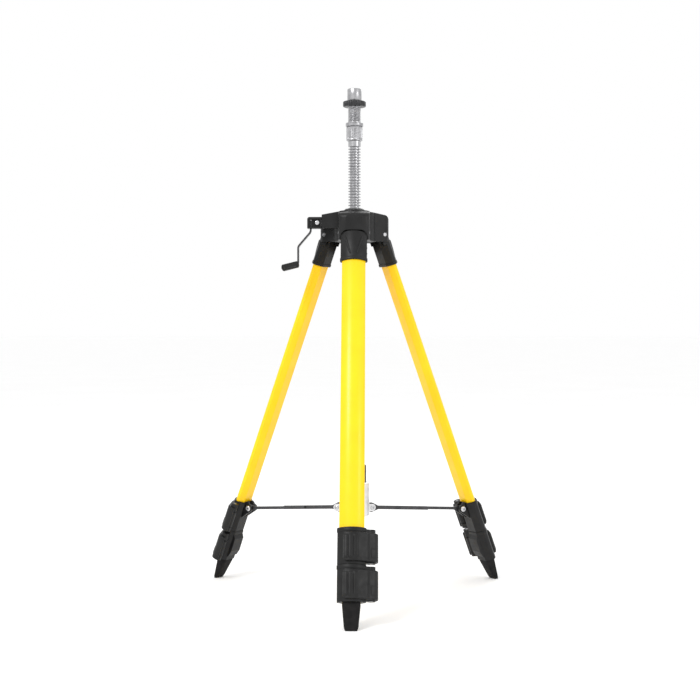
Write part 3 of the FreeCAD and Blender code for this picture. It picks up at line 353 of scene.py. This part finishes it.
def lever_path():
    """Outer outline of a lever from its free edge to the end of its hook, with normals."""
    radius, centre = crown_arc(CLAMP_GROW)
    reach = radius + LEVER_GAP + LEVER_THICK
    path = []
    start, stop = math.asin(LEVER_TIP_X / reach), math.asin(PLATE_END_X / reach)
    for step in range(PLATE_STEPS + 1):
        angle = start + (stop - start) * step / PLATE_STEPS
        path.append((reach * math.sin(angle), centre - reach * math.cos(angle)))
    plate_end = path[-1]
    hook = []
    for step in range(HOOK_STEPS + 1):
        angle = math.radians(HOOK_START + HOOK_SWEEP * step / HOOK_STEPS)
        hook.append((LEVER_PIN[0] + LEVER_RING * math.cos(angle),
                     LEVER_PIN[1] + LEVER_RING * math.sin(angle)))
    for step in range(1, LINK_STEPS):
        mix = step / LINK_STEPS
        path.append((plate_end[0] * (1 - mix) + hook[0][0] * mix,
                     plate_end[1] * (1 - mix) + hook[0][1] * mix))
    return path + hook


def softened(path):
    """The same outline with its kinks eased."""
    for _ in range(6):
        path = [path[0]] + [((a[0] + 2 * b[0] + c[0]) / 4, (a[1] + 2 * b[1] + c[1]) / 4)
                            for a, b, c in zip(path, path[1:], path[2:])] + [path[-1]]
    return path


def path_tangents(path):
    """Unit direction of a path at each of its points."""
    tangents = []
    for index in range(len(path)):
        a, b = path[max(index - 1, 0)], path[min(index + 1, len(path) - 1)]
        tangents.append(Vector((b[0] - a[0], b[1] - a[1])).normalized())
    return tangents


def lever_rim(columns, rows):
    """Indices round the four edges of a lever's face, in order."""
    rim = list(range(rows))
    rim += [column * rows + rows - 1 for column in range(1, columns)]
    rim += [(columns - 1) * rows + row for row in range(rows - 2, -1, -1)]
    rim += [column * rows for column in range(columns - 2, 0, -1)]
    return rim


def make_lever(leg, which, place):
    """Clamp lever: a curved shell with rounded edges, grip ribs, a step and a panel."""
    path = softened(lever_path())
    stations = [0.0]
    for a, b in zip(path, path[1:]):
        stations.append(stations[-1] + math.dist(a, b))
    total = stations[-1]
    normals = [Vector((along.y, -along.x)) for along in path_tangents(path)]
    half_long, rows = LEVER_LONG / 2, 41
    middle = CLAMP_TOPS[which] - LEVER_TOP - half_long
    outer, inner = [], []
    for (x, y), station, normal in zip(path, stations, normals):
        inset = max(0.0, LEVER_CORNER - station)
        drop = LEVER_CORNER - math.sqrt(max(LEVER_CORNER * LEVER_CORNER - inset * inset, 0.0))
        tall = half_long - drop
        for row in range(rows):
            share = -math.cos(math.pi * row / (rows - 1))
            height = share * tall
            gap = min(station, total - station, tall - abs(height))
            slope = 1 - min(gap / LEVER_EDGE, 1)
            round_off = LEVER_EDGE * (1 - math.sqrt(max(0.0, 1 - slope ** 2)))
            lift = -round_off + lever_relief(x, station, height, total)
            outer.append((x + normal.x * lift, y + normal.y * lift, middle + height))
            inner.append((x - normal.x * LEVER_THICK, y - normal.y * LEVER_THICK,
                          middle + height))
    count = len(path)
    faces = grid_faces(count, rows, around=False)
    faces += [face[::-1] for face in grid_faces(count, rows, count * rows, around=False)]
    rim = lever_rim(count, rows)
    for a, b in zip(rim, rim[1:] + rim[:1]):
        faces.append((a, a + count * rows, b + count * rows, b))
    body = f"{which}_lever_{leg}"
    lever = add_piece(f"{leg}_{which}_lever_shell", outer + inner, faces, BLACK, body, place,
                      50)
    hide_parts(f"{leg}_{which}_lever")
    low = CLAMP_TOPS[which] - BARREL_DROP
    high = low + BARREL_LONG
    profile = [(BARREL_RADIUS - 1, low), (BARREL_RADIUS, low + 0.5),
               (BARREL_RADIUS, high - 0.5), (BARREL_RADIUS - 1, high)]
    verts, faces = turned(dense(profile), 48)
    verts = [(x + LEVER_PIN[0], y + LEVER_PIN[1], z) for x, y, z in verts]
    add_piece(f"{leg}_{which}_lever_barrel", verts, faces, BLACK, body, place)


def lever_relief(x, station, height, total):
    """Height of the grip ribs, the step and the small panel over the lever's face."""
    relief = 0.0
    for rib_x in RIB_PLACES:
        across = abs(x - rib_x) / RIB_HALF
        if across < 1 and station < total * RIB_REACH:
            fade = min(1.0, max(0.0, (RIB_END - abs(height)) / RIB_FADE))
            relief = max(relief, RIB_HEIGHT * (1 - across ** 4) ** 0.7 * math.sqrt(fade))
    before_hook = station < total * PANEL_REACH
    step = abs(x - STEP_X) / STEP_HALF
    if step < 1 and abs(height) < STEP_END and before_hook:
        relief -= STEP_DEPTH * (1 - step * step)
    inside = max(abs(x - PANEL_X) / PANEL_WIDE, abs(height - PANEL_Z) / PANEL_TALL)
    if inside < 1 and before_hook:
        relief = max(relief, PANEL_HEIGHT * min(1.0, (1 - inside) * 6))
    return relief


def dense(profile, step=1.2):
    """The profile with long sides divided, so that shading stays even."""
    result = [profile[0]]
    for a, b in zip(profile, profile[1:]):
        parts = max(1, round(math.dist(a, b) / step))
        for part in range(1, parts + 1):
            mix = part / parts
            result.append((a[0] + (b[0] - a[0]) * mix, a[1] + (b[1] - a[1]) * mix))
    return result


def make_socket_detail(leg, place):
    """Ribs that run together towards the socket's lower rim, and that rim."""
    radius, centre = crown_arc(SOCKET_GROW)

    def front(x):
        return centre - math.sqrt(radius * radius - x * x)

    for side, sign in (("a", 1), ("b", -1)):
        rib(f"{leg}_socket_rib_{side}", (sign * 9.6, -8.0), (sign * 3.6, -30.0), 1.1, 1.4,
            front, f"leg_{leg}", place)
    band(f"{leg}_socket_rim", SOCKET_END + 0.2, SOCKET_END + 3.4, SOCKET_GROW, 0.55,
         f"leg_{leg}", place)


def make_clamp_detail(leg, place):
    """Rims of the clamps and the socket screws at the brace's fork."""
    for which, body in (("upper", f"leg_{leg}"), ("lower", f"middle_{leg}")):
        top = CLAMP_TOPS[which]
        band(f"{leg}_{which}_clamp_rim", top - 4.4, top - 0.4, CLAMP_GROW, 0.5, body, place)
    for side, sign in (("a", 1), ("b", -1)):
        at = place @ (Vector((sign * 5.9, BRACE_PIN.y, BRACE_PIN.z)) * MM)
        direction = place.to_3x3() @ Vector((sign, 0, 0))
        hex_screw(f"{leg}_fork_screw_{side}", at / MM, direction, 3.3, 2.2, f"leg_{leg}")


def hex_screw(name, origin, direction, radius, tall, body):
    """Button head with a hexagonal recess."""
    def shape(reach, height, angle):
        if reach > radius * 0.56:
            return reach
        sector = (angle % (math.pi / 3)) - math.pi / 6
        return reach * math.cos(math.pi / 6) / math.cos(sector) * 1.1

    profile = [(radius, 0), (radius, tall * 0.45), (radius * 0.93, tall * 0.78),
               (radius * 0.78, tall * 0.96), (radius * 0.62, tall), (radius * 0.52, tall * 0.97),
               (radius * 0.5, tall * 0.3), (radius * 0.02, tall * 0.25)]
    verts, faces = turned(profile, 48, shape)
    return add_piece(name, verts, faces, PLATED, body, facing(direction, origin))


def make_foot(leg, place):
    """Tapered foot with rounded edges and a level sole."""
    rings, steps = 15, 40
    verts = []
    origin = place.translation / MM
    turn = place.to_3x3()
    for ring in range(rings + 1):
        mix = ring / rings
        shrink = 1 - 0.12 * max(0.0, (mix - 0.86) / 0.14) ** 2
        shrink -= 0.05 * max(0.0, (0.08 - mix) / 0.08)
        for step in range(steps):
            angle = 2 * math.pi * step / steps
            start = Vector((*foot_point(angle, *FOOT_HEAD), FOOT_TOP))
            end = Vector((*foot_point(angle, *FOOT_TIP), FOOT_TOP - FOOT_LONG))
            first, last = origin + turn @ start, origin + turn @ end
            reach = first.z / (first.z - last.z)
            spot = first + (last - first) * (reach * mix)
            down = FOOT_TOP - FOOT_LONG * reach * mix
            centre = origin + turn @ Vector((0, FOOT_MIDDLE, down))
            flat = Vector((spot.x - centre.x, spot.y - centre.y, 0)) * (shrink - 1)
            verts.append(tuple(spot + flat))
    faces = grid_faces(rings + 1, steps) + end_caps(rings + 1, steps)
    foot = add_piece(f"{leg}_foot_boot", verts, faces, RUBBER, f"lower_{leg}", None,
                     50)
    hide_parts(f"{leg}_foot")


def foot_point(angle, half, front, back):
    """Point of a rounded rectangle at that angle."""
    middle, deep = (front + back) / 2, (back - front) / 2
    return (half * signed_power(math.cos(angle), FOOT_SQUARE),
            middle + deep * signed_power(math.sin(angle), FOOT_SQUARE))


# ---------------------------------------------------------------- head, column and hub

def make_rod():
    """Ringed column rod: soft-edged rings at the rack's pitch."""
    low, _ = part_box("column_rod")
    bottom = low.z / MM
    plain_below, plain_above = 12, 5
    gear_height = JOINTS["crank_spin"]["pos_m"][2] / MM
    below = int((gear_height - bottom - plain_below) / RACK_PITCH)
    above = int((ROD_TOP - plain_above - gear_height) / RACK_PITCH)
    half_gap = [(ROD_ROOT, 0.6), (ROD_ROOT + 0.15, 0.72), (ROD_RADIUS - 0.2, 1.08),
                (ROD_RADIUS, 1.22)]
    profile = [(0.3, bottom), (ROD_RADIUS - 0.8, bottom), (ROD_RADIUS, bottom + 0.8)]
    for index in range(-below, above + 1):
        gap = gear_height + index * RACK_PITCH
        profile += [(radius, gap - along) for radius, along in reversed(half_gap)]
        profile += [(radius, gap + along) for radius, along in half_gap]
    profile += [(ROD_RADIUS, ROD_TOP - 0.2), (SPIGOT_RADIUS, ROD_TOP),
                (SPIGOT_RADIUS, ROD_TOP + SPIGOT_LONG), (0.3, ROD_TOP + SPIGOT_LONG)]
    verts, faces = turned(profile, 56)
    rod = add_piece("column_rod_ringed", verts, faces, ROD, "column", None, 30)
    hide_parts("column_rod")


def make_stud():
    """Mounting stud with a fluted sleeve, a threaded stem and a smooth drilled tip."""
    flute_low, flute_high = SLEEVE_FOOT + 1.6, SLEEVE_TOP - 1.4
    thread_low, thread_high = STUD_FOOT + 0.8, STUD_SHOULDER
    flute_rows, thread_rows, depth = 52, 130, 0.6

    def shape(radius, height, angle):
        if flute_low < height < flute_high and radius > 8.5:
            fade = min(1, height - flute_low, flute_high - height)
            return radius - depth * abs(math.sin(angle * SLEEVE_FLUTES / 2)) * max(fade, 0)
        if thread_low < height < thread_high and radius > 7:
            phase = (height / STUD_PITCH - angle / (2 * math.pi)) % 1
            fade = min(1, (height - thread_low) / 1.2, (thread_high - height) / 1.2)
            return radius - depth * min(1.0, abs(phase - 0.5) * 2.5) * max(fade, 0)
        return radius

    profile = [(4.1, SLEEVE_FOOT), (SLEEVE_RADIUS - 0.8, SLEEVE_FOOT),
               (SLEEVE_RADIUS, SLEEVE_FOOT + 0.8)]
    profile += [(SLEEVE_RADIUS, flute_low + (flute_high - flute_low) * row / flute_rows)
                for row in range(flute_rows + 1)]
    profile += [(SLEEVE_RADIUS, SLEEVE_TOP - 0.8), (8.3, SLEEVE_TOP), (9.7, SLEEVE_TOP + 0.1),
                (9.8, SLEEVE_TOP + 0.4), (9.8, STUD_FOOT - 0.6), (9.2, STUD_FOOT),
                (STEM_RADIUS, STUD_FOOT)]
    profile += [(STEM_RADIUS, thread_low + (thread_high - thread_low) * row / thread_rows)
                for row in range(thread_rows + 1)]
    profile += [(STUD_RADIUS - 0.1, STUD_SHOULDER + 0.05), (STUD_RADIUS, STUD_SHOULDER + 0.2),
                (STUD_RADIUS, STUD_TIP - 0.8), (STUD_RADIUS - 0.25, STUD_TIP - 0.25),
                (STUD_RADIUS - 0.8, STUD_TIP), (5.5, STUD_TIP), (5.3, STUD_TIP - 0.1),
                (3.3, STUD_TIP - 2.1), (3.175, STUD_TIP - 2.3), (3.175, STUD_TIP - 11.8),
                (0.2, STUD_TIP - 12)]
    verts, faces = turned(profile, 180, shape)
    stud = add_piece("mount_stud_threaded", verts, faces, STEEL, "column", None, 40)
    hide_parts("mount_stud")


def make_lock_ring():
    """Lock ring with a notched rim."""
    low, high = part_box("lock_ring")
    bottom, top, radius = low.z / MM, high.z / MM, high.x / MM
    notches = 28

    def shape(reach, height, angle):
        if reach < radius - 1.3:
            return reach
        wave = abs(math.sin(angle * notches / 2))
        return reach - 0.55 * (1 - wave) ** 2

    profile = [(7.4, bottom + 0.3), (7.7, bottom), (radius - 0.9, bottom),
               (radius - 0.25, bottom + 0.35), (radius, bottom + 1), (radius, top - 1),
               (radius - 0.25, top - 0.35), (radius - 0.9, top), (7.7, top), (7.4, top - 0.3)]
    verts, faces = turned_ring(profile, notches * 8, shape)
    ring = add_piece("lock_ring_notched", verts, faces, BLACK_METAL, "lock_ring", None,
                     40)
    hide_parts("lock_ring")


def make_lock_knob():
    """Fluted lock knob with a dished face and a centre cap."""
    flute_depth = 1.9

    def shape(reach, height, angle):
        if reach < KNOB_FACE:
            return reach
        share = (reach - KNOB_FACE) / (KNOB_RADIUS - KNOB_FACE)
        return reach - flute_depth * share * (0.5 + 0.5 * math.cos(angle * KNOB_LOBES)) ** 3

    profile = [(4.1, 0), (8.0, 0), (8.6, 0.4), (11.0, 1.0), (13.6, 1.6), (14.3, 2.3),
               (KNOB_RADIUS, 3.2), (KNOB_RADIUS, 10.4), (14.3, 11.4), (13.6, 12.2), (12.4, 12.7),
               (10.4, 12.9), (8.6, 12.7), (8.1, 12.2), (7.9, 11.4), (7.6, 11.0), (7.0, 11.0),
               (6.8, 11.6), (6.2, 12.1), (4.0, 12.4), (0.3, 12.5)]
    verts, faces = turned(profile, 160, shape)
    place = facing((0, 1, 0), (0, KNOB_FOOT, LOCK_HEIGHT))
    knob = add_piece("lock_knob_fluted", verts, faces, BLACK, "lock_knob", place, 50)
    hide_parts("lock_knob")


def make_vial():
    """Bubble vial: raised bezel, coloured liquid under a low dome, ring mark and bubble."""
    place = Matrix.Translation(Vector(VIAL_PLACE) * MM)
    bezel = [(5.75, -1.2), (5.75, 0.35), (5.95, 0.6), (6.9, 0.6), (7.3, 0.3), (7.4, -0.3)]
    verts, faces = turned_ring(bezel, 72)
    add_piece("vial_bezel", verts, faces, BLACK, "head", place)
    dome = [(5.6, -6.2), (5.65, -5.8), (5.65, -0.6), (5.4, -0.3), (4.6, -0.08), (3.4, 0.08),
            (2.0, 0.18), (0.2, 0.22)]
    verts, faces = turned(dense(dome, 0.8), 72)
    vial = add_piece("vial_liquid", verts, faces, LIQUID, "head", place)
    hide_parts("level_vial")
    mark = [(2.45, 0.1), (2.5, 0.27), (2.8, 0.26), (2.85, 0.05)]
    verts, faces = turned_ring(mark, 64)
    add_piece("vial_ring_mark", verts, faces, BLACK, "head", place)
    bubble = [(0.3, 0.05), (1.2, 0.1), (1.75, 0.22), (1.8, 0.3), (1.5, 0.42), (0.9, 0.5),
              (0.15, 0.53)]
    off_centre = (0.5, -0.3)
    verts, faces = turned(bubble, 48)
    verts = [(x + off_centre[0], y + off_centre[1], z) for x, y, z in verts]
    add_piece("vial_bubble", verts, faces, BUBBLE, "head", place)


def make_crank_arm():
    """Bent crank strap with rounded edges, and its grip."""
    lane = JOINTS["crank_spin"]["pos_m"][1] / MM
    path = [(-48.35, 417.0), (-48.35, 405.6), (-49.2, 403.6), (-61.2, 389.6), (-62.3, 387.4),
            (-62.3, 370.0)]
    path = dense(path, 1.0)
    half_thick, half_wide = 0.9, 4.8
    ring = [(half_thick * side * bend, half_wide * face * reach)
            for side, face, bend, reach in ((1, -1, 0.5, 1), (1, -1, 1, 0.94), (1, 1, 1, 0.94),
                                            (1, 1, 0.5, 1), (-1, 1, 0.5, 1), (-1, 1, 1, 0.94),
                                            (-1, -1, 1, 0.94), (-1, -1, 0.5, 1))]
    verts = []
    for (x, z), along in zip(path, path_tangents(path)):
        for out, wide in ring:
            verts.append((x - along.y * out, lane + wide, z + along.x * out))
    faces = grid_faces(len(path), len(ring)) + end_caps(len(path), len(ring))
    strap = add_piece("crank_strap", verts, faces, BLACK_METAL, "crank", None, 50)
    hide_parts("crank_arm")
    make_crank_grip(lane)


def make_crank_grip(lane):
    """Moulded grip: a rounded block that slopes outward, dished at its sides."""
    root, tip = Vector((-61.5, 0, 369.0)), Vector((-80.9, 0, 364.2))
    up = Vector((tip.z - root.z, 0, root.x - tip.x)).normalized()
    steps, around = 44, 72
    half_tall, half_wide, square, dish_depth = 3.75, 4.75, 0.45, 1.1
    verts = []
    for step in range(steps + 1):
        mix = step / steps
        end = min(mix, 1 - mix) / 0.11
        swell = 1.0 if end >= 1 else math.sqrt(max(0.02, 1 - (1 - end) ** 2))
        spot = root.lerp(tip, mix)
        for turn in range(around):
            angle = 2 * math.pi * turn / around
            c, s = math.cos(angle), math.sin(angle)
            rise = half_tall * signed_power(s, square) * swell
            wide = half_wide * signed_power(c, square) * (0.6 + 0.4 * swell)
            dish = max(0.0, 1 - (abs(rise) / 2.5) ** 4)
            dish *= max(0.0, 1 - (abs(mix - 0.5) / 0.36) ** 6)
            if abs(c) > 0.2:
                wide -= math.copysign(dish_depth, c) * dish
            point = spot + up * rise
            verts.append((point.x, lane + wide, point.z))
    faces = grid_faces(steps + 1, around) + end_caps(steps + 1, around)
    add_piece("crank_grip", verts, faces, BLACK, "crank", None, 60)


def make_small_screws():
    """Screws of the crank hub and of the spreader hub's forks."""
    screw = hex_screw("crank_hub_screw", CRANK_SCREW, (0, -1, 0), 2.6, 1.6, "crank")
    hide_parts("crank_screw")
    for leg in LEGS:
        pivot = JOINTS[f"brace_inner_{leg}_turn"]
        axis, at = Vector(pivot["axis"]), Vector(pivot["pos_m"]) / MM
        for side, sign in (("a", 1), ("b", -1)):
            face = at + axis * sign * 5.3
            hex_screw(f"{leg}_hub_screw_{side}", face, axis * sign, 2.7, 1.5, "hub")


# ---------------------------------------------------------------- CAD pieces that stay

def finish_cad_nodes():
    """Give every CAD node a procedural material by its material slot."""
    slots = {entry["node"]: entry["material_slot"] for entry in frame["record"]["subparts"]}
    by_slot = {"black_head": HEAD_BLACK, "black_plastic": BLACK, "dark_bush": BUSH,
               "yellow_tube": PAINT, "steel": STEEL, "vial": LIQUID, "brass": BRASS,
               "rod_steel": ROD, "stud_steel": STEEL, "black_ring": BLACK_METAL,
               "black_strap": BLACK_METAL, "light_metal": LIGHT_METAL, "black_foot": RUBBER,
               "dark_strip": STRIP}
    for name, node in frame["nodes"].items():
        node.data.materials.clear()
        node.data.materials.append(by_slot[slots[name]])


EDGE_WIDTHS = {"head_shell": 0.7, "crank_hub": 0.5, "brace_hub": 0.4,
               "lock_collar": 0.3, "collar_thumb_screw": 0.6}


def round_edges():
    """Weld and bevel the CAD nodes whose edges show."""
    widths = dict(EDGE_WIDTHS)
    for leg in LEGS:
        widths[f"{leg}_leg_socket"] = 0.6
        for part in ("upper_tube", "upper_clamp", "lower_clamp"):
            widths[f"{leg}_{part}"] = 0.5
    for name, width in widths.items():
        node = frame["nodes"][name]
        weld = node.modifiers.new("Weld", "WELD")
        weld.merge_threshold = 0.00001
        bevel = node.modifiers.new("Bevel", "BEVEL")
        bevel.width = width * MM
        bevel.segments = 3
        bevel.limit_method = "ANGLE"
        bevel.angle_limit = math.radians(32)
        bevel.harden_normals = False


# ---------------------------------------------------------------- stage

def add_light(name, place, size, watts):
    """Soft round light that faces the object."""
    data = bpy.data.lights.new(name, "AREA")
    data.shape, data.size, data.energy = "DISK", size, watts
    light = bpy.data.objects.new(name, data)
    bpy.context.scene.collection.objects.link(light)
    light.location = place
    light.rotation_euler = (Vector(AIM) - Vector(place)).to_track_quat("-Z", "Y").to_euler()


def make_stage():
    """Pale floor, white surroundings and soft lights."""
    half = FLOOR_HALF
    mesh = bpy.data.meshes.new("floor")
    mesh.from_pydata([(-half, -half, 0), (half, -half, 0), (half, half, 0), (-half, half, 0)],
                     [], [(0, 1, 2, 3)])
    mesh.materials.append(FLOOR)
    floor = bpy.data.objects.new("floor", mesh)
    bpy.context.scene.collection.objects.link(floor)
    floor.location.z = -FLOOR_DROP
    world = bpy.data.worlds.new("studio")
    world.use_nodes = True
    background = world.node_tree.nodes["Background"]
    background.inputs["Color"].default_value = (1, 1, 1, 1)
    background.inputs["Strength"].default_value = 1.0
    bpy.context.scene.world = world
    bpy.context.scene.view_settings.view_transform = "Standard"
    for name, (place, size, watts) in LIGHTS.items():
        add_light(name, place, size, watts)


def make_camera():
    """Camera at the photograph's place and angle."""
    data = bpy.data.cameras.new("camera")
    data.lens, data.sensor_width = CAMERA_LENS, SENSOR_WIDTH
    camera = bpy.data.objects.new("camera", data)
    bpy.context.scene.collection.objects.link(camera)
    around = Matrix.Rotation(math.radians(CAMERA_ROUND), 4, "Z")
    camera.location = around @ Vector((0, -CAMERA_DISTANCE, CAMERA_HEIGHT))
    camera.rotation_euler = (math.radians(90 + CAMERA_PITCH), 0,
                             math.radians(CAMERA_ROUND + CAMERA_YAW))
    bpy.context.scene.camera = camera


finish_cad_nodes()
round_edges()
for leg_name in LEGS:
    leg_place = leg_matrix(leg_name)
    make_socket_detail(leg_name, leg_place)
    make_clamp_detail(leg_name, leg_place)
    make_lever(leg_name, "upper", leg_place)
    make_lever(leg_name, "lower", leg_place)
    make_foot(leg_name, leg_place)
make_rod()
make_stud()
make_lock_ring()
make_lock_knob()
make_vial()
make_crank_arm()
make_small_screws()
make_stage()
make_camera()
